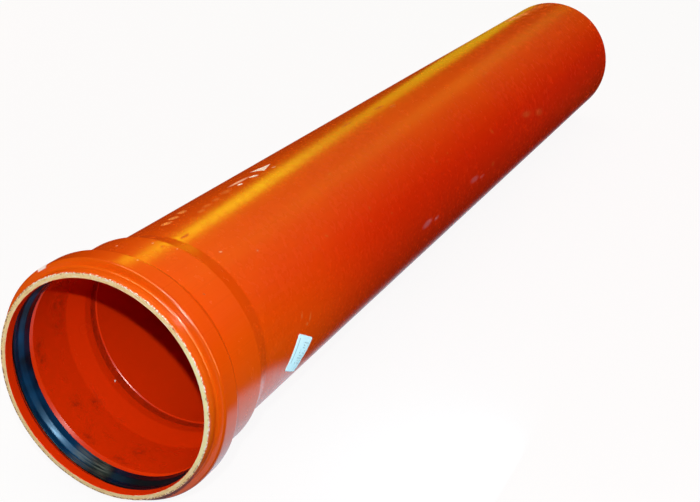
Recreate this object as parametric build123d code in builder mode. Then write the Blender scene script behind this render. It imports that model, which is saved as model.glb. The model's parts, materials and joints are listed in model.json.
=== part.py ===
# Drain pipe lying on the floor: a plain barrel with a formed ring-seal socket at its near end.
# Lengths are millimetres. The axis runs along +Y from the socket mouth to the spigot end.
import os
from math import atan2, cos, degrees, radians, sin, tan

from build123d import *

# Barrel stock
barrel_radius = 80.0
wall = 4.0
laying_length = 1000.0

# Socket, stations measured from the mouth along the axis
socket_length = 86.0
spigot_clearance = 0.6
socket_wall = 4.2
lip_length = 9.6
bead_width = 16.4
bead_rise = 6.3
bead_slope_length = 9.4
taper_length = 17.2

# Groove for the sealing ring, inside the bead
lip_bore_length = 7.2
groove_front_slope = 6.4
groove_width = 10.0
groove_slope_length = 7.9
taper_inside_lead = 1.4

# Spigot end
spigot_chamfer_length = 6.0
spigot_chamfer_angle = 15.0

# Rounded edges
rim_round = 0.4
bead_front_round = 1.8
bead_back_round = 3.0
neck_round = 0.8
taper_round = 8.0
groove_round = 0.8
lip_edge_round = 1.5
shoulder_round = 3.5

# Sealing ring and its fit in the groove
ring_seat_gap = 0.2
ring_lip_proud = 0.2
ring_lip_land = 2.5
ring_lip_overhang = 1.4
ring_front_setback = 3.0
ring_front_depth = 1.3
ring_crown_depth = 0.8
ring_crown_width = 2.8
ring_valley_depth = 2.1
ring_valley_width = 3.4
ring_back_reach = 2.4
ring_round = 0.6

# Sticker on the barrel
label_side = 30.0
label_corner = 2.0
label_thickness = 0.15
label_glue_gap = 0.05
label_station = 140.5
label_angle = 105.4
label_turn = 30.5

# Radii and stations that follow from the sizes above
total_length = laying_length + socket_length
bore_radius = barrel_radius - wall
socket_bore = barrel_radius + spigot_clearance
sleeve_radius = socket_bore + socket_wall
bead_radius = sleeve_radius + bead_rise
groove_radius = bead_radius - socket_wall
bead_end = lip_length + bead_width
neck = bead_end + bead_slope_length
sleeve_end = socket_length - taper_length
groove_front = lip_bore_length + groove_front_slope
groove_end = groove_front + groove_width
shoulder = groove_end + groove_slope_length
seat_start = sleeve_end - taper_inside_lead
bore_start = socket_length - taper_inside_lead
chamfer_depth = spigot_chamfer_length * tan(radians(spigot_chamfer_angle))
spigot_face_radius = barrel_radius - chamfer_depth
spigot_edge = total_length - spigot_chamfer_length

# The pipe rests on the bead and on the spigot edge, so its axis dips a little toward the spigot
slope_angle = atan2(bead_rise, bead_slope_length)
bead_contact = bead_end - bead_back_round * tan(slope_angle / 2)
lie_angle = atan2(bead_radius - barrel_radius, spigot_edge - bead_contact)
mouth_height = bead_contact * sin(lie_angle) + bead_radius * cos(lie_angle)
near_reach = -(sleeve_radius - rim_round) * sin(lie_angle)
far_reach = total_length * cos(lie_angle) + spigot_face_radius * sin(lie_angle)
mouth = Vector(0, -(near_reach + far_reach) / 2, mouth_height)
along = Vector(0, cos(lie_angle), -sin(lie_angle))
upward = Vector(0, sin(lie_angle), cos(lie_angle))
sideways = Vector(1, 0, 0)
pipe_axis = Axis(mouth, along)
profile_plane = Plane(origin=mouth, x_dir=along, z_dir=sideways)


def corners_at(sketch, stations):
    # Corners of a half profile, picked by station and radius
    picked = []
    for station, radius in stations:
        corner = min(sketch.vertices(), key=lambda v: (v.X - station) ** 2 + (v.Y - radius) ** 2)
        picked.append(corner)
    return picked


# Pipe: one wall, swept round the axis from the mouth to the spigot end
outside = [
    (0, sleeve_radius),
    (lip_length, sleeve_radius),
    (lip_length, bead_radius),
    (bead_end, bead_radius),
    (neck, sleeve_radius),
    (sleeve_end, sleeve_radius),
    (socket_length, barrel_radius),
    (spigot_edge, barrel_radius),
    (total_length, spigot_face_radius),
]
inside = [
    (total_length, bore_radius),
    (bore_start, bore_radius),
    (seat_start, socket_bore),
    (shoulder, socket_bore),
    (groove_end, groove_radius),
    (groove_front, groove_radius),
    (lip_bore_length, socket_bore),
    (0, socket_bore),
]
with BuildPart() as pipe:
    with BuildSketch(profile_plane) as wall_profile:
        with BuildLine():
            Polyline(*outside, *inside, close=True)
        make_face()
        fillet(corners_at(wall_profile, [outside[0], inside[7]]), rim_round)
        fillet(corners_at(wall_profile, [outside[1], outside[2]]), bead_front_round)
        fillet(corners_at(wall_profile, [outside[3]]), bead_back_round)
        fillet(corners_at(wall_profile, [outside[4]]), neck_round)
        fillet(corners_at(wall_profile, [outside[5], outside[6], inside[1], inside[2]]), taper_round)
        fillet(corners_at(wall_profile, [inside[3]]), shoulder_round)
        fillet(corners_at(wall_profile, [inside[4], inside[5]]), groove_round)
        fillet(corners_at(wall_profile, [inside[6]]), lip_edge_round)
    revolve(axis=pipe_axis)
pipe.part.label = "pipe"

# Sealing ring: rubber, held in the groove, its lip pressed back nearly level with the socket bore
ring_outer = groove_radius - ring_seat_gap
ring_lip = socket_bore - ring_lip_proud
ring_front = lip_bore_length + ring_front_setback
ring_crown = ring_front + ring_crown_width
ring_valley = ring_crown + ring_valley_width
ring_lip_back = groove_end + ring_lip_overhang
ring_section = [
    (ring_front, ring_lip + ring_front_depth),
    (groove_front + 2 * ring_seat_gap, ring_outer),
    (groove_end - ring_seat_gap, ring_outer),
    (groove_end + ring_back_reach, (ring_lip + ring_outer) / 2),
    (ring_lip_back, ring_lip),
    (ring_lip_back - ring_lip_land, ring_lip),
    (ring_valley, ring_lip + ring_valley_depth),
    (ring_crown, ring_lip + ring_crown_depth),
]
with BuildPart() as sealing_ring:
    with BuildSketch(profile_plane) as ring_profile:
        with BuildLine():
            Polyline(*ring_section, close=True)
        make_face()
        fillet(corners_at(ring_profile, ring_section), ring_round)
    revolve(axis=pipe_axis)
sealing_ring.part.label = "sealing_ring"

# Label: a small square sticker wrapped on the barrel, stuck on askew
label_inner = barrel_radius + label_glue_gap
label_outer = label_inner + label_thickness
label_out = upward * cos(radians(label_angle)) + sideways * sin(radians(label_angle))
label_root = mouth + along * label_station
shell_plane = Plane(origin=label_root - along * label_side, x_dir=sideways, z_dir=along)
patch_plane = Plane(origin=label_root + label_out * (barrel_radius / 2), x_dir=along, z_dir=label_out)
with BuildPart() as label:
    with BuildSketch(shell_plane):
        Circle(label_outer)
        Circle(label_inner, mode=Mode.SUBTRACT)
    extrude(amount=2 * label_side)
    with BuildSketch(patch_plane):
        RectangleRounded(label_side, label_side, label_corner, rotation=-label_turn)
    extrude(amount=barrel_radius, mode=Mode.INTERSECT)
label.part.label = "label"

os.makedirs("parts", exist_ok=True)
export_step(pipe.part, "parts/pipe.step")
export_step(sealing_ring.part, "parts/sealing_ring.step")
export_step(label.part, "parts/label.step")

print("lie angle", round(degrees(lie_angle), 4))
print("mouth centre", [round(v, 4) for v in mouth])
print("axis", [round(v, 6) for v in along])
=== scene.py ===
# Drain pipe lying on a pale floor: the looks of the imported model, in metres.
import json
from math import cos, pi, radians, sin, tan

import bpy
import numpy as np
from mathutils import Matrix, Vector


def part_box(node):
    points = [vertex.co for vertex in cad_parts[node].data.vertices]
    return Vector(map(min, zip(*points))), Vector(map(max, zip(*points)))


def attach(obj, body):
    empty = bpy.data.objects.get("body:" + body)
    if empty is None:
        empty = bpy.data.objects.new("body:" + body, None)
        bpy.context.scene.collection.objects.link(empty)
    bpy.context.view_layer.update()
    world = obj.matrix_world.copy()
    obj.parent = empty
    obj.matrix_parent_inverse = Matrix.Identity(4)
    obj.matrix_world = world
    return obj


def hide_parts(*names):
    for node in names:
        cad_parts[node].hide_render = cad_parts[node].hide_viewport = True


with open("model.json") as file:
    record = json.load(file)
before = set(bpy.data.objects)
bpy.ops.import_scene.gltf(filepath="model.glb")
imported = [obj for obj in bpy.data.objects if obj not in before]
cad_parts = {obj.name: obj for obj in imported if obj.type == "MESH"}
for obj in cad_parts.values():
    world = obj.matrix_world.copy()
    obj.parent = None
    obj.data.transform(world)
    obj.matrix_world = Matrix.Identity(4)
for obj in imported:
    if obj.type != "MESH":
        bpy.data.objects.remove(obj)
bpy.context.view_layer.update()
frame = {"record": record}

# Pipe
# A drain pipe of hard vinyl, extruded as a pale core between two orange skins and sawn to length.
# Its near end was heated and pushed over a mandrel, which formed the socket, its bead and the ring's groove.
# It has been handled: chips, scuffs and stains mark the skin, and dirt has settled inside.
mm = 0.001
mounts = {mount["name"]: mount for mount in frame["record"]["mounts"]}
along = np.array(mounts["spigot"]["axis"])
sideways = np.array([1.0, 0.0, 0.0])
upward = np.cross(sideways, along)

# Outlines are drawn in millimetres, as station from the mouth and radius, and become metres when turned.
rim_round = 0.4
barrel_radius = mounts["spigot"]["dims"]["r_mm"]
bore_radius = mounts["pipe_bore"]["dims"]["r_mm"]
socket_bore = mounts["socket"]["dims"]["r_mm"]
socket_reach = mounts["socket"]["dims"]["length_mm"] / 2 + rim_round
mouth = np.array(mounts["socket"]["pos_m"]) - along * socket_reach * mm
spigot_middle = (np.array(mounts["spigot"]["pos_m"]) - mouth) @ along / mm
spigot_edge = spigot_middle + mounts["spigot"]["dims"]["length_mm"] / 2
pipe_low, pipe_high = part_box("pipe")
bead_radius = (pipe_high.x - pipe_low.x) / 2 / mm
socket_wall = 4.2
sleeve_radius = socket_bore + socket_wall
groove_radius = bead_radius - socket_wall
lip_length = 9.6
bead_end = 26.0
neck = 35.4
sleeve_end = 68.8
socket_length = 86.0
chamfer_length = 6.0
chamfer_angle = radians(15)
chamfer_depth = chamfer_length * tan(chamfer_angle)
total_length = spigot_edge + chamfer_length
lip_bore_length = 7.2
groove_front = 13.6
groove_end = 23.6
shoulder = 29.8
inside_lead = 1.4
mandrel_mark = 99.4
mandrel_mark_depth = 0.9
mandrel_mark_step = 0.45
mandrel_mark_length = 8.0
bead_front_round = 1.8
bead_back_round = 3.0
neck_round = 0.8
taper_round = 8.0
groove_round = 0.8
lip_edge_round = 1.5
shoulder_round = 0.9
sawn_round = 0.4
mark_round = 0.6
outside_corners = [
    (0, sleeve_radius, rim_round),
    (lip_length, sleeve_radius, bead_front_round),
    (lip_length, bead_radius, bead_front_round),
    (bead_end, bead_radius, bead_back_round),
    (neck, sleeve_radius, neck_round),
    (sleeve_end, sleeve_radius, taper_round),
    (socket_length, barrel_radius, taper_round),
    (spigot_edge, barrel_radius, bead_back_round),
    (total_length, barrel_radius - chamfer_depth, sawn_round),
]
inside_corners = [
    (total_length, bore_radius, sawn_round),
    (mandrel_mark + mandrel_mark_step, bore_radius, mark_round),
    (mandrel_mark - mandrel_mark_step, bore_radius + mandrel_mark_depth, mark_round / 2),
    (mandrel_mark - mandrel_mark_length, bore_radius, bead_back_round),
    (socket_length - inside_lead, bore_radius, taper_round),
    (sleeve_end - inside_lead, socket_bore, taper_round),
    (shoulder, socket_bore, shoulder_round),
    (groove_end, groove_radius, groove_round),
    (groove_front, groove_radius, groove_round),
    (lip_bore_length, socket_bore, lip_edge_round),
    (0, socket_bore, rim_round),
]
arc_steps = 5
short_step = 4.0
long_step = 42.0
long_run = 200.0
turn_steps = 480


def rounded_outline(corners, steps):
    """A closed outline with an arc at each corner. An arc touches both legs at its rounding times the
    tangent of half the turn, and its points are swung from one touching point to the other about the arc's
    centre. Straight runs are then cut into equal steps. Gives the points and the corner each one
    follows."""
    corner = np.array(corners)
    tip = corner[:, :2]
    rounding = corner[:, 2:]
    back = np.roll(tip, 1, axis=0) - tip
    ahead = np.roll(tip, -1, axis=0) - tip
    back = back / np.linalg.norm(back, axis=1, keepdims=True)
    ahead = ahead / np.linalg.norm(ahead, axis=1, keepdims=True)
    turn = pi - np.arccos(np.sum(back * ahead, axis=1, keepdims=True))
    reach = rounding * np.tan(turn / 2)
    middle = (back + ahead) / np.linalg.norm(back + ahead, axis=1, keepdims=True)
    centre = tip + middle * np.hypot(rounding, reach)
    first = (tip + back * reach - centre)[:, None]
    last = (tip + ahead * reach - centre)[:, None]
    share = np.linspace(0, 1, steps + 1)[None, :, None]
    swing = turn[:, None]
    arc = first * np.sin((1 - share) * swing) + last * np.sin(share * swing)
    points = (centre[:, None] + arc / np.sin(swing)).reshape(-1, 2)
    leg = np.roll(points, -1, axis=0) - points
    length = np.linalg.norm(leg, axis=1)
    step = np.where(length > long_run, long_step, short_step)
    cuts = np.ceil(length / step).astype(int)
    start = np.repeat(np.cumsum(cuts) - cuts, cuts)
    part = (np.arange(cuts.sum()) - start) / np.repeat(cuts, cuts)
    outline = np.repeat(points, cuts, axis=0) + np.repeat(leg, cuts, axis=0) * part[:, None]
    followed = np.repeat(np.arange(len(corner)), steps + 1)
    return outline, np.repeat(followed, cuts)


def turned_outline(outline, steps):
    """An outline carried round the axis in equal steps: the station, radius and angle of each point, with a
    row for each point of the outline and a column for each step."""
    stations = np.repeat(outline[:, :1], steps, axis=1)
    radii = np.repeat(outline[:, 1:], steps, axis=1)
    angles = np.linspace(-pi, pi, steps, endpoint=False)
    return stations, radii, np.repeat(angles[None], len(outline), axis=0)


def axis_points(stations, radii, angles):
    """Points about the pipe's axis, in metres: the station along the axis from the mouth, and the radius out
    from it at the angle, which is 0 at the top and grows toward +X."""
    out = sideways * np.sin(angles)[..., None] + upward * np.cos(angles)[..., None]
    return mouth + along * (stations * mm)[..., None] + out * (radii * mm)[..., None]


def grid_piece(name, points, closed_rows, closed_columns):
    """A mesh piece from a grid of points: each face joins four neighbours, two of a row and two of the next.
    Closed rows or columns join the last one to the first."""
    rows, columns = points.shape[:2]
    index = np.arange(rows * columns).reshape(rows, columns)
    if closed_rows:
        index = np.vstack([index, index[:1]])
    if closed_columns:
        index = np.hstack([index, index[:, :1]])
    faces = np.stack([index[:-1, :-1], index[:-1, 1:], index[1:, 1:], index[1:, :-1]], axis=-1)
    mesh = bpy.data.meshes.new(name)
    mesh.from_pydata(points.reshape(-1, 3), [], faces.reshape(-1, 4))
    mesh.shade_smooth()
    mesh.update()
    piece = bpy.data.objects.new(name, mesh)
    bpy.context.scene.collection.objects.link(piece)
    return piece


def point_values(piece, name, values):
    """A number kept at each point of a piece, which its material reads by name."""
    attribute = piece.data.attributes.new(name, "FLOAT", "POINT")
    attribute.data.foreach_set("value", values.astype(np.float32).ravel())


def steady_normals(piece):
    """Shades each point by its largest faces, so flats stay flat up to the small rounded edges."""
    weighted = piece.modifiers.new("steady_normals", "WEIGHTED_NORMAL")
    weighted.mode = "FACE_AREA"
    weighted.weight = 100


wall, wall_corner = rounded_outline(outside_corners + inside_corners, arc_steps)
wall_station, wall_radius, wall_angle = turned_outline(wall, turn_steps)
is_inside = np.repeat((wall_corner >= len(outside_corners))[:, None] * 1.0, turn_steps, axis=1)

# The barrel is never quite round or straight: a few slow waves round it and along it, all inward.
chance = np.random.default_rng(11)
wave_turns = np.array([2, 3, 5, 7])
wave_lengths = np.array([900.0, 420.0, 260.0, 150.0])
wave_depths = np.array([0.12, 0.06, 0.03, 0.015])
wave_starts = chance.uniform(0, 2 * pi, len(wave_turns))
phase = wall_angle[..., None] * wave_turns + wall_station[..., None] * 2 * pi / wave_lengths + wave_starts
sway = np.sum(wave_depths * (1 + np.sin(phase)) / 2, axis=-1)
wave_fade = 60.0
past_socket = np.clip((wall_station - socket_length) / wave_fade, 0, 1)
before_spigot = np.clip((spigot_edge - wall_station) / wave_fade, 0, 1)
wall_radius = wall_radius - sway * past_socket * before_spigot * (1 - is_inside)

# Nicks along the sawn rim's outer edge, most of them at the upper right where it was knocked.
nick_count = 90
nick_size = 0.2
nick_reach = 0.5
knocked_share = 0.6
knocked_from = radians(5)
knocked_to = radians(95)
narrowest_nick = radians(0.5)
widest_nick = radians(1.0)
shallowest_nick = 0.15
nick_angles = np.where(
    chance.random(nick_count) < knocked_share,
    chance.uniform(knocked_from, knocked_to, nick_count),
    chance.uniform(-pi, pi, nick_count),
)
nick_widths = chance.uniform(narrowest_nick, widest_nick, nick_count)
nick_depths = chance.uniform(shallowest_nick, 1.0, nick_count) ** 2
nick_gap = (wall_angle[0][:, None] - nick_angles) / nick_widths
nick = np.max(nick_depths * np.exp(-nick_gap ** 2), axis=1)
rim_gap = np.hypot(wall_station, wall_radius - sleeve_radius)
rim_share = np.exp(-(rim_gap / nick_reach) ** 2)
wall_station = wall_station + rim_share * nick * nick_size
wall_radius = wall_radius - rim_share * nick * nick_size * (1 - is_inside)

pipe = grid_piece("pipe_wall", axis_points(wall_station, wall_radius, wall_angle), True, True)
point_values(pipe, "inside", is_inside)
point_values(pipe, "nicked", rim_share * nick)
steady_normals(pipe)


class Shade:
    """A shader value. Sums, products and powers add Math nodes, and node() adds any other node."""

    def __init__(self, socket):
        self.socket = socket

    def node(self, kind, settings, inputs, output=0):
        """A node of that kind in the same tree, with its settings and the values or links of its sockets."""
        tree = self.socket.id_data
        made = tree.nodes.new(kind)
        for name, value in settings.items():
            setattr(made, name, value)
        for name, value in inputs.items():
            if isinstance(value, Shade):
                tree.links.new(value.socket, made.inputs[name])
            else:
                made.inputs[name].default_value = value
        return Shade(made.outputs[output])

    def math(self, operation, *values):
        return self.node("ShaderNodeMath", {"operation": operation}, dict(enumerate(values)))

    def vector(self, operation, *values, output=0):
        return self.node("ShaderNodeVectorMath", {"operation": operation}, dict(enumerate(values)), output)

    def __add__(self, other):
        return self.math("ADD", self, other)

    def __radd__(self, other):
        return self.math("ADD", other, self)

    def __sub__(self, other):
        return self.math("SUBTRACT", self, other)

    def __rsub__(self, other):
        return self.math("SUBTRACT", other, self)

    def __mul__(self, other):
        return self.math("MULTIPLY", self, other)

    def __rmul__(self, other):
        return self.math("MULTIPLY", other, self)

    def __pow__(self, other):
        return self.math("POWER", self, other)

    def most(self, other):
        return self.math("MAXIMUM", self, other)

    def least(self, other):
        return self.math("MINIMUM", self, other)

    def dot(self, direction):
        return self.vector("DOT_PRODUCT", self, tuple(direction), output="Value")

    def ramp(self, low, high):
        """0 at low and 1 at high, with a smooth rise between them."""
        limits = {"Value": self, "From Min": low, "From Max": high}
        return self.node("ShaderNodeMapRange", {"interpolation_type": "SMOOTHSTEP"}, limits)

    def band(self, low, high, edge):
        """1 between low and high, fading to 0 over the edge's width outside them."""
        return self.ramp(low - edge, low) * self.ramp(high + edge, high)

    def noise(self, scale, detail, roughness):
        values = {"Vector": self, "Scale": scale, "Detail": detail, "Roughness": roughness}
        return self.node("ShaderNodeTexNoise", {}, values)

    def between(self, low, high):
        """The low colour where this value is 0, the high one where it is 1."""
        return self.node("ShaderNodeMix", {"data_type": "RGBA"}, {0: self, 6: low, 7: high}, 2)

    def tinted(self, mask, colour):
        """This colour with another laid over it where the mask is 1."""
        return mask.between(self, colour)

    def into(self, shader, name):
        self.socket.id_data.links.new(self.socket, shader.inputs[name])


def join_xyz(x, y, z):
    """A vector from three shader values or numbers, the first of which is a shader value."""
    return x.node("ShaderNodeCombineXYZ", {}, {"X": x, "Y": y, "Z": z})


def paint(red, green, blue):
    """A colour given as it looks on a screen, 0 to 255, as the shader's linear light."""
    look = np.array([red, green, blue]) / 255
    light = np.where(look > 0.04045, ((look + 0.055) / 1.055) ** 2.4, look / 12.92)
    return (*light.tolist(), 1.0)


def start_finish(name):
    """A new material with its shader and its Object coordinates."""
    material = bpy.data.materials.new(name)
    material.use_nodes = True
    nodes = material.node_tree.nodes
    shader = nodes["Principled BSDF"]
    return material, shader, Shade(nodes.new("ShaderNodeTexCoord").outputs["Object"])


def add_relief(shader, depth):
    """Bumps a shader's surface by a depth in mm, outward where it is above 0."""
    bump = depth.node("ShaderNodeBump", {}, {"Height": depth * mm, "Strength": 1.0, "Distance": 1.0})
    bump.into(shader, "Normal")


def axis_place(place):
    """A place about the pipe's axis: station, distance to the right, height and radius in mm, and the angle
    from the top."""
    offset = place.vector("SUBTRACT", place, tuple(mouth))
    station = offset.dot(along / mm)
    right = offset.dot(sideways / mm)
    height = offset.dot(upward / mm)
    radius = (right * right + height * height) ** 0.5
    return station, right, height, radius, right.math("ARCTAN2", right, height)


def oval_mark(spot, mark, edge):
    """A mask that is 1 in an oval on the skin. The mark is its station in mm, its angle from the top in
    degrees, its half length and half width in mm and its turn in degrees. The edge is the share of it that
    fades."""
    station, angle, half_length, half_width, turn = mark
    mapped = spot.node("ShaderNodeMapping", {"vector_type": "TEXTURE"}, {
        "Vector": spot,
        "Location": (station, radians(angle) * barrel_radius, 0),
        "Rotation": (0, 0, radians(turn)),
        "Scale": (half_length, half_width, 1),
    })
    return mapped.vector("LENGTH", mapped, output="Value").ramp(1, 1 - edge)


def oval_marks(spot, marks, edge):
    """The marks of one kind together."""
    together = oval_mark(spot, marks[0], edge)
    for mark in marks[1:]:
        together = together.most(oval_mark(spot, mark, edge))
    return together


def triangle_mark(spot, tips, edge):
    """A mask that is 1 in a triangle on the skin, whose tips are (station in mm, angle in degrees)."""
    tips = np.array(tips) * (1, radians(1) * barrel_radius)
    middle = tips.mean(axis=0)
    depth = None
    for start, end in zip(tips, np.roll(tips, -1, axis=0)):
        inward = np.array([start[1] - end[1], end[0] - start[0]])
        inward = inward / np.linalg.norm(inward)
        inward = inward * np.sign((middle - start) @ inward)
        side = spot.dot((*inward, 0)) - float(start @ inward)
        depth = side if depth is None else depth.least(side)
    return depth.ramp(0, edge)


def pipe_finish():
    """Orange skin with die lines, scuffs and stains, a dirty bore, and the pale core on the sawn ends."""
    skin_orange = paint(224, 81, 2)
    skin_deep = paint(218, 73, 2)
    shade_red = paint(222, 48, 1)
    lip_highlight_orange = paint(232, 106, 14)
    bore_orange = paint(236, 56, 2)
    core_cream = paint(253, 232, 172)
    core_pale_yellow = paint(255, 255, 198)
    core_brown = paint(224, 180, 122)
    burr_brown = paint(126, 72, 40)
    chip_white = paint(255, 255, 252)
    speck_pale = paint(252, 216, 192)
    dust_and_glint_yellow = paint(242, 172, 88)
    fleck_beige = paint(228, 146, 78)
    lavender_tone = paint(206, 150, 168)
    patch_pink = paint(232, 152, 108)
    stain_olive = paint(126, 50, 4)
    dirt_and_shade_brown = paint(96, 22, 4)
    triangle_chip = [(244.8, -15.6), (269.8, -10.6), (249.5, -6.8)]
    white_chips = [
        (232.5, -7.5, 5.0, 2.4, 25),
        (209.9, -7.4, 3.4, 2.0, 10),
    ]
    bead_chip = (11.5, -32.5, 3.6, 5.0, 0)
    pale_specks = [
        (217.0, -11.2, 18.0, 2.6, 5),
        (259.1, -4.6, 2.8, 1.2, 20),
        (98.7, 28.0, 1.6, 0.9, 25),
        (129.4, 38.8, 1.0, 0.8, 0),
        (62.4, 3.6, 1.0, 0.7, 0),
        (32.7, 11.2, 0.9, 0.7, 0),
        (24.6, 12.2, 1.0, 0.6, 0),
        (67.0, 15.4, 0.9, 0.6, 0),
        (50.9, -11.0, 1.4, 0.8, 0),
    ]
    # Painted glints: three small yellow spots high on the crown's left, behind the socket.
    glint_spots = [
        (140.4, -15.2, 5.0, 4.6, 8),
        (125.6, -13.6, 5.5, 4.8, 8),
        (112.6, -11.8, 6.0, 4.2, 8),
    ]
    dusty_smears = [
        (190.1, -8.5, 10.0, 4.6, 4),
        (170.6, -6.4, 7.0, 3.0, 0),
        (154.9, -5.6, 8.0, 3.0, 0),
        (143.2, -3.7, 7.0, 2.6, 0),
    ]
    beige_flecks = [
        (142.3, 82.4, 1.2, 3.4, 20),
        (154.7, 87.0, 1.1, 5.5, 25),
        (149.5, 89.5, 2.2, 1.2, 0),
        (213.5, 54.5, 3.0, 1.1, 30),
        (189.6, 55.7, 1.0, 2.2, 10),
        (283.7, 25.2, 5.0, 1.0, -8),
        (292.7, 56.8, 1.3, 2.8, 15),
        (285.0, 63.5, 1.8, 1.2, 0),
        (324.0, 68.0, 1.8, 1.2, 0),
        (445.0, 59.3, 3.0, 1.4, 0),
        (474.0, 59.2, 3.0, 1.4, 0),
        (596.0, 67.6, 6.0, 2.6, 35),
        (680.0, 26.4, 9.0, 1.4, 0),
        (711.0, 74.7, 22.0, 5.0, 8),
        (755.0, 80.8, 18.0, 6.0, 10),
        (586.0, 91.1, 7.0, 4.0, 0),
    ]
    # Lavender marks low on the right flank.
    lavender_marks = [
        (527.0, 90.6, 16.0, 4.0, 4),
        (397.0, 93.0, 15.0, 4.5, 0),
        (552.0, 93.5, 9.0, 2.0, 0),
        (421.0, 95.0, 8.0, 2.4, 0),
    ]
    pink_patches = [
        (962.0, -17.0, 28.0, 10.0, 4),
        (990.0, -13.0, 14.0, 8.0, 0),
    ]
    olive_stains = [
        (1062.0, -1.9, 12.0, 7.0, 0),
        (1035.0, -11.0, 50.0, 12.0, 3),
        (988.0, -6.3, 9.0, 3.0, 10),
        (466.0, -1.0, 13.0, 2.6, 4),
        (479.0, 5.6, 8.0, 2.8, 0),
        (400.0, -3.6, 14.0, 2.4, 3),
        (45.1, 41.7, 2.0, 1.0, 20),
        (94.7, 7.8, 8.0, 1.8, 0),
        (62.1, 9.0, 1.8, 1.0, 0),
    ]
    bore_smudges = [
        (58.0, -72.0, 13.0, 12.0, 0),
        (59.9, -87.0, 9.0, 9.0, 0),
        (35.9, -92.4, 7.0, 12.0, 0),
        (37.0, -99.6, 6.0, 9.0, 0),
        (49.6, -129.7, 9.0, 8.0, 0),
        (65.0, -135.4, 7.0, 8.0, 0),
        (34.9, -147.4, 6.0, 11.0, 0),
        (34.5, -168.0, 6.0, 12.0, 0),
        (50.8, -173.0, 10.0, 8.0, 0),
    ]
    bore_speck = (89.9, -131.7, 1.1, 1.1, 0)

    material, shader, place = start_finish("orange_vinyl")
    station, right, height, radius, angle = axis_place(place)
    inside = place.node("ShaderNodeAttribute", {"attribute_name": "inside"}, {}, "Fac")
    nicked = place.node("ShaderNodeAttribute", {"attribute_name": "nicked"}, {}, "Fac")
    outer = 1 - inside

    # Slow cloudiness, die lines drawn out along the axis, and the fine grain of the skin. The flanks are
    # painted a redder shade than the crown, and the lip a paler orange as a painted highlight.
    lines_across = 0.9
    lines_along = 0.004
    elsewhere = (3.1, 1.7, 0.4)
    ragged_scale = 340
    ragged_length = 2.4
    ragged_width = 1.6
    crown_height = barrel_radius * 0.94
    flank_height = barrel_radius * 0.35
    flank_start = 300
    pale_lines = 0.03
    dark_lines = 0.08
    lip_end = 11.0
    lip_fade = 2.0
    lip_highlight_tint = 0.6
    cloud = place.noise(9, 3, 0.55)
    drawn = join_xyz(right * lines_across, height * lines_across, station * lines_along)
    die_lines = drawn.noise(1.0, 3, 0.6)
    peel = place.noise(420, 2, 0.5)
    ragged_station = place.noise(ragged_scale, 3, 0.55) - 0.5
    ragged_arc = place.vector("ADD", place, elsewhere).noise(ragged_scale, 3, 0.55) - 0.5
    arc = angle * barrel_radius
    spot = join_xyz(station + ragged_station * ragged_length, arc + ragged_arc * ragged_width, 0)
    broken = place.noise(900, 3, 0.7).ramp(0.36, 0.52)

    # Painted shade: the skin turns a redder orange from the crown down the flanks, growing from the mouth to
    # 300 mm along.
    flank_shade = height.ramp(crown_height, flank_height) * station.ramp(0, flank_start)
    colour = cloud.ramp(0.3, 0.7).between(skin_orange, skin_deep).tinted(flank_shade, shade_red)
    colour = colour.tinted(die_lines.ramp(0.52, 0.75) * pale_lines * outer, dust_and_glint_yellow)
    colour = colour.tinted(die_lines.ramp(0.45, 0.25) * dark_lines * outer, dirt_and_shade_brown)
    # Painted highlight: the lip, up to 11 mm from the mouth, is tinted a paler orange.
    colour = colour.tinted(station.ramp(lip_end, lip_end - lip_fade) * lip_highlight_tint, lip_highlight_orange)
    colour = colour.tinted(inside, bore_orange)

    # Marks on the outer skin, most of them from handling, and three painted glints on the crown's left.
    # Each kind lies over the ones before it, at its own strength.
    on_bead = radius.ramp(bead_radius - 2.2, bead_radius - 1.4)
    smear_strength = 0.4
    white = oval_marks(spot, white_chips, edge=0.35).most(triangle_mark(spot, triangle_chip, edge=0.4))
    white = (white * outer).most(oval_mark(spot, bead_chip, edge=0.3) * on_bead)
    pale = oval_marks(spot, pale_specks, edge=0.6) * outer
    smeared = oval_marks(spot, dusty_smears, edge=0.9) * smear_strength
    # The dusty mask holds the dust smears and the painted glint spots.
    dusty = oval_marks(spot, glint_spots, edge=0.5).most(smeared) * outer * broken
    beige = oval_marks(spot, beige_flecks, edge=0.8) * outer * broken
    lavender = oval_marks(spot, lavender_marks, edge=0.7) * outer * broken
    pink = oval_marks(spot, pink_patches, edge=0.5) * outer * (0.5 + broken * 0.5)
    olive = oval_marks(spot, olive_stains, edge=0.8) * outer
    marks = [
        (olive, 0.45, stain_olive),
        (dusty, 0.8, dust_and_glint_yellow),
        (beige, 0.55, fleck_beige),
        (lavender, 0.75, lavender_tone),
        (pink, 0.8, patch_pink),
        (pale, 0.8, speck_pale),
    ]
    for mark, strength, tone in marks:
        colour = colour.tinted(mark * strength, tone)
    colour = colour.tinted(white, chip_white)

    # Dirt in the socket, and dirt with painted shade in the mandrel mark's recess.
    smear_across = 0.05
    smear_along = 0.11
    smear_tint = 0.45
    grime_and_shade_tint = 0.55
    seat_fade = 6.0
    mark_inset = 1.0
    mark_fade = 1.5
    mark_start = mandrel_mark - mandrel_mark_length
    smear = join_xyz(right * smear_across, height * smear_across, station * smear_along).noise(1.0, 4, 0.65)
    seat = station.band(shoulder, sleeve_end, seat_fade)
    sooty = place.noise(170, 4, 0.65).ramp(0.38, 0.68)
    seat_smear = smear.ramp(0.56, 0.78) * seat * smear_tint
    smudge = (oval_marks(spot, bore_smudges, edge=1.0) * sooty).most(seat_smear)
    # Painted shade and dirt: the mandrel mark's recess is darkened all round, more where the soot noise is
    # high.
    mark_recess = station.band(mark_start + mark_inset, mandrel_mark - mark_inset, mark_fade)
    grime_and_shade = smudge.most(mark_recess * (0.5 + sooty * 0.5)) * inside
    colour = colour.tinted(grime_and_shade * grime_and_shade_tint, dirt_and_shade_brown)
    colour = colour.tinted(oval_mark(spot, bore_speck, edge=0.4) * inside, chip_white)

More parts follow.
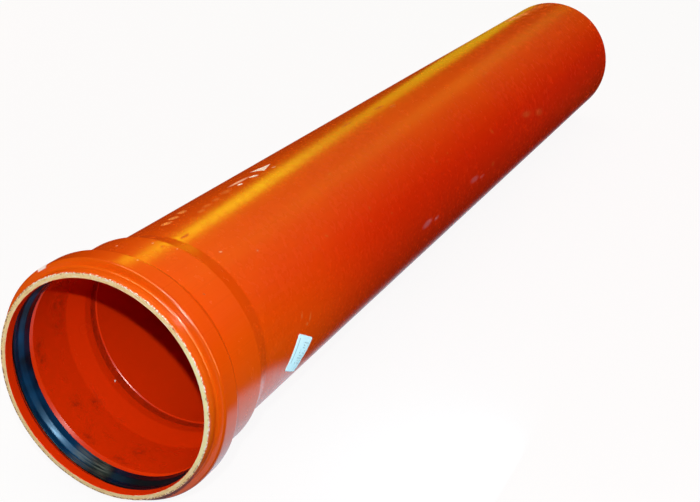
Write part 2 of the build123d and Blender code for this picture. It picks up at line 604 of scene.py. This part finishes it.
    # The core shows on the sawn ends between the two skins, with chipped edges and saw marks.
    skin_thickness = 0.45
    core_fade = 0.25
    core_wander = 0.5
    face_depth = 0.5
    face_flat = 0.3
    edge_inner = sleeve_radius - 1.7
    edge_outer = sleeve_radius - 0.9
    wander = (place.noise(300, 2, 0.6) - 0.5) * core_wander
    near_end = station.ramp(face_depth, face_flat)
    far_end = station.ramp(total_length - face_depth, total_length - face_flat)
    core_radius = radius + wander
    near_core = core_radius.band(socket_bore + skin_thickness, sleeve_radius - skin_thickness, core_fade)
    far_core = core_radius.band(bore_radius + skin_thickness, barrel_radius - chamfer_depth, core_fade)
    core = near_end * near_core + far_end * far_core
    saw = join_xyz(radius * 0.25, angle * 60, station * 0.1).noise(1.0, 3, 0.7)
    torn = join_xyz(radius * 0.9, angle * 9, station * 0.1).noise(1.0, 3, 0.65)
    rim_edge = radius.ramp(edge_inner, edge_outer) * station.ramp(0.9, 0.4)
    crumbs = place.noise(620, 3, 0.7)
    knocked = angle.band(radians(-35), radians(105), 0.3)
    in_nicks = nicked.ramp(0.2, 0.5) * crumbs.ramp(0.42, 0.56)
    chipped = rim_edge * in_nicks.most(knocked * crumbs.ramp(0.52, 0.58))
    burr = rim_edge * ((1 - knocked) * crumbs.ramp(0.54, 0.46)).most(crumbs.ramp(0.4, 0.36))
    # The core is paler and less brown on its right side, from 62 to 112 degrees round.
    right_side_pale = angle.band(radians(62), radians(112), 0.25)
    colour = colour.tinted(core, right_side_pale.between(core_cream, core_pale_yellow))
    sawn = saw.ramp(0.5, 0.72).most(torn.ramp(0.5, 0.66))
    colour = colour.tinted(core * sawn * (0.66 - right_side_pale * 0.56), core_brown)
    colour = colour.tinted(core * torn.ramp(0.46, 0.34) * 0.6, chip_white)
    colour = colour.tinted(burr * 0.8, burr_brown)
    colour = colour.tinted(chipped, chip_white)

    colour.into(shader, "Base Color")

    # The skin is glossy, smoother toward the mouth, and duller where it is worn, stained or dirty.
    skin_roughness = 0.26
    worn_roughness = 0.35
    grime_roughness = 0.2
    stain_roughness = 0.3
    worn = white.most(pale).most(pink).most(lavender).most(dusty).most(core).most(chipped)
    mottle = place.noise(120, 3, 0.55)
    uneven = (mottle - 0.5) * 0.16 - station.ramp(50, 20) * 0.06
    gloss = skin_roughness + (cloud - 0.5) * 0.08 + uneven * outer
    marked = worn * worn_roughness + grime_and_shade * grime_roughness + olive * stain_roughness
    (gloss + marked).into(shader, "Roughness")

    # Relief, in mm: die lines, the skin's grain, faint turned waves about the socket, chips and saw marks.
    line_depth = 0.002
    peel_depth = 0.002
    turned_depth = 0.006
    chip_depth = 0.05
    scuff_depth = 0.02
    saw_depth = 0.12
    turned = join_xyz(station * 0.5, angle * 5, 0).noise(1.0, 2, 0.6) * station.ramp(150, 60) * outer
    skin_depth = die_lines * line_depth + peel * peel_depth + turned * turned_depth
    depth = skin_depth - white * chip_depth - worn * broken * scuff_depth + core * saw * saw_depth
    add_relief(shader, depth)
    shader.inputs["IOR"].default_value = 1.46
    return material


pipe.data.materials.append(pipe_finish())
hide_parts("pipe")
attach(pipe, "root")

# Sealing ring
# A moulded black rubber ring, with a painted blue sheen on its left, that sits in the groove behind the
# socket's lip.
# Its lip lies pressed back nearly level with the socket's bore, and it is smeared with grease and dust.
ring_arc_steps = 6
ring_seat_gap = 0.2
ring_lip_proud = 0.2
ring_outer = groove_radius - ring_seat_gap
ring_lip = socket_bore - ring_lip_proud
ring_front = 10.9
ring_front_depth = 2.5
ring_shelf = 13.6
ring_shelf_depth = 2.4
ring_valley = 16.4
ring_valley_depth = 3.0
ring_land = 20.0
ring_land_depth = 0.1
ring_back_reach = 2.4
ring_back_depth = 2.2
ring_back_lean = 0.2
ring_back = groove_end + ring_back_reach
ring_round = 0.6
face_round = 1.6
ring_section = [
    (ring_front, ring_lip + ring_front_depth, ring_round),
    (groove_front + 2 * ring_seat_gap, ring_outer, ring_round),
    (groove_end - ring_seat_gap, ring_outer, ring_round),
    (ring_back, ring_lip + ring_back_depth, ring_round),
    (ring_back - ring_back_lean, ring_lip, ring_round),
    (ring_land, ring_lip + ring_land_depth, face_round),
    (ring_valley, ring_lip + ring_valley_depth, face_round),
    (ring_shelf, ring_lip + ring_shelf_depth, ring_round),
]
ring_outline = rounded_outline(ring_section, ring_arc_steps)[0]
ring = grid_piece("rubber_ring", axis_points(*turned_outline(ring_outline, turn_steps)), True, True)
steady_normals(ring)


def rubber_finish():
    """Black rubber with a painted blue sheen and painted front-edge shadow, moulded lines, grease and dust
    streaks.
    """
    sheen_blue = paint(2, 62, 106)
    rubber_black = paint(1, 12, 24)
    dust_grey = paint(116, 130, 118)
    material, shader, place = start_finish("blue_black_rubber")
    station, right, height, radius, angle = axis_place(place)
    grey_band_from = radians(-166)
    grey_band_to = radians(-152)
    grey_band_fade = 0.12
    dust_tint = 0.55
    rubber_roughness = 0.28
    streak_roughness = 0.16
    dust_roughness = 0.2
    line_depth = 0.03
    grain_depth = 0.012
    streak = join_xyz(radius * 0.7, angle * 3, station * 0.7).noise(1.0, 4, 0.6)
    grain = place.noise(1400, 2, 0.6)
    # Painted reflection: the rubber is blue on its left side as a bluish sheen, and black on the right and
    # in random patches.
    patch = place.noise(22, 3, 0.6).ramp(0.35, 0.65).most(right.ramp(-45, 15))
    # Painted shadow: black along the ring's front edge, in the gap behind the socket's lip.
    patch = patch.most(station.ramp(ring_front + 1.9, ring_front + 0.9))
    # A grey-green band low on the ring, from -166 to -152 degrees round it.
    smeared = angle.band(grey_band_from, grey_band_to, grey_band_fade) * streak.ramp(0.4, 0.62)
    dusty = smeared.most(streak.ramp(0.66, 0.8) * 0.4)
    colour = patch.between(sheen_blue, rubber_black)
    colour = colour.tinted(dusty * dust_tint, dust_grey)
    colour.into(shader, "Base Color")
    greasy = streak.ramp(0.35, 0.7) * streak_roughness
    (rubber_roughness + greasy + dusty * dust_roughness).into(shader, "Roughness")
    lines = join_xyz(radius * 2.2, angle * 1.5, station * 2.2).noise(1.0, 2, 0.5)
    add_relief(shader, lines * line_depth + grain * grain_depth)
    shader.inputs["IOR"].default_value = 1.5
    shader.inputs["Specular Tint"].default_value = (0.36, 0.68, 1.0, 1.0)
    return material


ring.data.materials.append(rubber_finish())
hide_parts("sealing_ring")
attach(ring, "root")

# Label
# A square sticker of pale film, wrapped on the barrel's flank and stuck on askew. Two corners lift a little.
# It is blank but for a thin grey rule and some dots, as on any stock label.
label_half = 15.0
label_corner = 2.4
label_station = 140.5
label_angle = 105.4
label_turn = radians(30.5)
label_glue_gap = 0.05
label_thickness = 0.15
label_radius = barrel_radius + label_glue_gap + label_thickness
label_lift = 0.35
label_steps = 64


def rounded_square(across, up):
    """A square grid pressed into a rounded square: past the straight part of both sides, a point is drawn
    in so that the corner's square becomes a quarter circle."""
    straight = label_half - label_corner
    over_across = np.clip(np.abs(across) - straight, 0, None) / label_corner
    over_up = np.clip(np.abs(up) - straight, 0, None) / label_corner
    far = np.hypot(over_across, over_up)
    scale = np.where(far > 0, np.maximum(over_across, over_up) / np.where(far > 0, far, 1), 1)
    pressed_across = np.where(over_across > 0, straight + over_across * scale * label_corner, np.abs(across))
    pressed_up = np.where(over_up > 0, straight + over_up * scale * label_corner, np.abs(up))
    return np.sign(across) * pressed_across, np.sign(up) * pressed_up


label_line = np.linspace(-label_half, label_half, label_steps + 1)
label_up, label_across = np.meshgrid(label_line, label_line)
label_across, label_up = rounded_square(label_across, label_up)
label_stations = label_station + label_across * cos(label_turn) - label_up * sin(label_turn)
label_arc = label_across * sin(label_turn) + label_up * cos(label_turn)
label_angles = radians(label_angle) + label_arc / barrel_radius
corner_share = np.clip(label_across * label_up / label_half ** 2, 0, 1) ** 3
label_radii = label_radius + label_lift * corner_share
label = grid_piece("label_film", axis_points(label_stations, label_radii, label_angles), False, False)
label_uv = label.data.uv_layers.new(name="film")
film_place = np.stack([label_across, label_up], axis=-1).reshape(-1, 2) / (2 * label_half) + 0.5
loop_points = np.empty(len(label.data.loops), dtype=np.int32)
label.data.loops.foreach_get("vertex_index", loop_points)
label_uv.data.foreach_set("uv", film_place[loop_points].astype(np.float32).ravel())
label_body = label.modifiers.new("film_thickness", "SOLIDIFY")
label_body.thickness = label_thickness * mm
label_body.offset = -1


def film_finish():
    """Pale satin film, a little grubby in places, with a thin rule and a field of dots in grey."""
    film_white = paint(236, 255, 255)
    film_grubby = paint(214, 242, 244)
    ink_grey = paint(96, 112, 118)
    dot_columns = 9
    dot_rows = 14
    dot_fade = 0.12
    ink_tint = 0.85
    film_roughness = 0.42
    grubby_roughness = 0.15
    ripple_depth = 0.05
    material, shader, place = start_finish("label_film")
    print_place = place.node("ShaderNodeUVMap", {"uv_map": "film"}, {})
    across = print_place.node("ShaderNodeSeparateXYZ", {}, {0: print_place}, "X")
    up = print_place.node("ShaderNodeSeparateXYZ", {}, {0: print_place}, "Y")
    rule = across.band(0.16, 0.19, 0.015) * up.band(0.1, 0.78, 0.004) * 0.7
    columns = across * dot_columns
    rows = up * dot_rows
    column = columns.math("FRACT", columns).band(0.3, 0.7, dot_fade)
    row = rows.math("FRACT", rows).band(0.3, 0.65, dot_fade)
    field = across.band(0.45, 0.88, 0.01) * up.band(0.16, 0.8, 0.01)
    dots = column * row * field * place.noise(300, 2, 0.6).ramp(0.42, 0.58)
    grubby = place.noise(160, 3, 0.6).ramp(0.45, 0.75)
    colour = (grubby * 0.6).between(film_white, film_grubby)
    colour = colour.tinted(rule.most(dots) * ink_tint, ink_grey)
    colour.into(shader, "Base Color")
    (film_roughness + grubby * grubby_roughness).into(shader, "Roughness")
    add_relief(shader, place.noise(70, 2, 0.5) * ripple_depth)
    shader.inputs["IOR"].default_value = 1.45
    return material


label.data.materials.append(film_finish())
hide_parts("label")
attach(label, "root")

# Floor
# A plain pale sheet under the pipe. It looks nearly white, and it still takes the pipe's shadow.
floor_half = 60.0
floor_grid = np.linspace(-floor_half, floor_half, 2)
floor_drop = 0.0002
floor_y, floor_x = np.meshgrid(floor_grid, floor_grid, indexing="ij")
floor_points = np.stack([floor_x, floor_y, np.full_like(floor_x, -floor_drop)], axis=-1)
floor = grid_piece("floor", floor_points, False, False)


def floor_finish():
    """A white matt sheet that glows most of the way to white where it is seen. In the pipe's mirror it shows
    a painted glow on the strip that the pipe lies on and on a patch beside its mouth. The rest is dim, and
    bounces little light."""
    white = (1.0, 1.0, 1.0, 1.0)
    cool_white = (0.84, 0.98, 1.14, 1.0)
    sheet_white = (0.86, 0.9, 0.96, 1.0)
    mirrored_brown = (0.2, 0.05, 0.0, 1.0)
    bounced_brown = (0.08, 0.02, 0.0, 1.0)
    seen_share = 0.92
    dim_share = 0.005
    patch_middle = (0.06, -0.44, 0.0)
    patch_radius = 0.09
    patch_fade = 0.04
    strip_half = 0.045
    strip_fade = 0.017
    material = bpy.data.materials.new("pale_floor")
    material.use_nodes = True
    nodes = material.node_tree.nodes
    nodes.remove(nodes["Principled BSDF"])
    path = nodes.new("ShaderNodeLightPath")
    place = Shade(nodes.new("ShaderNodeTexCoord").outputs["Object"])
    seen = Shade(path.outputs["Is Camera Ray"]).most(Shade(path.outputs["Is Transmission Ray"]))
    far = place.vector("DISTANCE", place, patch_middle, output="Value")
    aside = place.dot((1, 0, 0))
    strip = aside.math("ABSOLUTE", aside).ramp(strip_half + strip_fade, strip_half)
    # Painted glow, seen only in mirrors: the strip under the pipe and a patch beside its mouth.
    patch = far.ramp(patch_radius + patch_fade, patch_radius).most(strip)
    glossy = Shade(path.outputs["Is Glossy Ray"])
    bounce = glossy.between(bounced_brown, mirrored_brown).tinted(seen, sheet_white)
    matt = seen.node("ShaderNodeBsdfDiffuse", {}, {"Color": bounce})
    glow = seen.node("ShaderNodeEmission", {}, {"Color": glossy.between(white, cool_white), "Strength": 1.0})
    glow_share = (seen * seen_share).most(glossy * patch.most(dim_share))
    sheet = seen.node("ShaderNodeMixShader", {}, {0: glow_share, 1: matt, 2: glow})
    sheet.into(nodes["Material Output"], "Surface")
    return material


floor.data.materials.append(floor_finish())

# Lamps and camera
# A small white key lamp stands beside the camera, and the room's warm light comes from above and behind.
# Two standing strips at the left and a long one overhead, at the far end, draw the streaks along the crown.
# Four fills that nothing mirrors lift both flanks, the low side of the socket and the mouth.


def lamp(name, middle, shines, lengthwise, width, length, power, colour, mirrored=True):
    """A flat lamp at its middle, which shines along one direction and has its length along another. One that
    isn't mirrored only fills."""
    data = bpy.data.lights.new(name, "AREA")
    data.shape = "RECTANGLE"
    data.size = width
    data.size_y = length
    data.energy = power
    data.color = colour
    back = -Vector(shines).normalized()
    across = Vector(lengthwise).cross(back).normalized()
    turned = Matrix((across, back.cross(across), back)).transposed()
    placed = bpy.data.objects.new(name, data)
    placed.matrix_world = Matrix.Translation(Vector(middle)) @ turned.to_4x4()
    placed.visible_camera = False
    placed.visible_glossy = mirrored
    bpy.context.scene.collection.objects.link(placed)


def room_light():
    """The room: dark in front and at the horizon, lit above and behind. Mirrored, its light is warmer, and a
    bright arch stands over the mouth and down to the right."""
    dark = (0.02, 0.008, 0.0, 1.0)
    dim = (0.12, 0.045, 0.0, 1.0)
    pale = (0.98, 0.74, 0.62, 1.0)
    warm = (0.95, 0.52, 0.02, 1.0)
    arch_warm = (11.0, 11.0, 4.0, 1.0)
    arch_white = (26.0, 26.0, 22.0, 1.0)
    arch_fade = 0.1
    world = bpy.data.worlds.new("room")
    world.use_nodes = True
    nodes = world.node_tree.nodes
    look = Shade(nodes.new("ShaderNodeTexCoord").outputs["Generated"])
    mirrored = Shade(nodes.new("ShaderNodeLightPath").outputs["Is Glossy Ray"])
    aside = look.dot((1, 0, 0))
    ahead = look.dot((0, 1, 0))
    height = look.dot((0, 0, 1))
    lit = height.ramp(0.2, 0.75) * ahead.ramp(-0.6, 0.4).most(height.ramp(0.7, 0.97))
    light = lit.between(mirrored.between(dark, dim), mirrored.between(pale, warm))
    arch = ahead.band(-0.06, 0.2, arch_fade) * aside.ramp(-0.45, -0.25) * mirrored
    light = light.tinted(arch, aside.band(0.3, 0.72, arch_fade).between(arch_warm, arch_white))
    light.into(nodes["Background"], "Color")
    bpy.context.scene.world = world


key_place = (0.391, -1.056, 0.551)
key_shines = (-0.391, 0.556, -0.461)
key_white = (1.0, 0.98, 0.95)
strip_yellow = (0.8, 1.0, 0.02)
overhead_yellow = (0.9, 1.0, 0.05)
fill_orange = (1.0, 0.26, 0.26)
fill_red = (1.0, 0.12, 0.16)
fill_cool = (0.3, 0.82, 1.0)
strip_leans = (-0.39, 0, 1)
lamp(
    "key", middle=key_place, shines=key_shines, lengthwise=(0, 0, 1),
    width=0.015, length=0.015, power=4.85, colour=key_white,
)
lamp(
    "high_strip", middle=(-1.45, 2.5, 1.85), shines=(0, -1, 0), lengthwise=strip_leans,
    width=0.5, length=0.9, power=7.2, colour=strip_yellow,
)
lamp(
    "low_strip", middle=(-1.14, 2.5, 0.7), shines=(0, -1, 0), lengthwise=strip_leans,
    width=0.4, length=1.45, power=1.45, colour=strip_yellow,
)
lamp(
    "overhead_strip", middle=(-0.2, 3.4, 1.5), shines=(0, 0, -1), lengthwise=(-1.31, 4.26, 0),
    width=0.5, length=4.4, power=2.4, colour=overhead_yellow,
)
lamp(
    "left_fill", middle=(-1.8, 0.1, 0.5), shines=(1, 0, -0.2), lengthwise=(0, 1, 0),
    width=0.8, length=1.0, power=8.0, colour=fill_orange, mirrored=False,
)
lamp(
    "right_fill", middle=(0.98, 0.47, 0.63), shines=(-0.98, -0.97, -0.55), lengthwise=(0, 1, 0),
    width=0.6, length=0.6, power=5.2, colour=fill_red, mirrored=False,
)
lamp(
    "low_fill", middle=(0.25, -0.41, 0.04), shines=(-1, 0, 0.15), lengthwise=(0, 1, 0),
    width=0.06, length=0.1, power=0.29, colour=fill_cool, mirrored=False,
)
lamp(
    "mouth_fill", middle=(-0.25, -0.75, 0.1), shines=(0.165, 0.207, -0.01), lengthwise=(0, 0, 1),
    width=0.06, length=0.1, power=0.18, colour=key_white, mirrored=False,
)
room_light()
bpy.context.scene.view_settings.view_transform = "Standard"

camera_eye = Vector((0.44799, -1.10724, 0.48818))
camera_look = Vector((-0.38915, 0.83528, -0.38842))
camera_sensor = 36.0
camera_lens = 61.035
camera_data = bpy.data.cameras.new("camera")
camera_data.sensor_width = camera_sensor
camera_data.lens = camera_lens
camera = bpy.data.objects.new("camera", camera_data)
camera.location = camera_eye
camera.rotation_euler = camera_look.to_track_quat("-Z", "Y").to_euler()
bpy.context.scene.collection.objects.link(camera)
bpy.context.scene.camera = camera
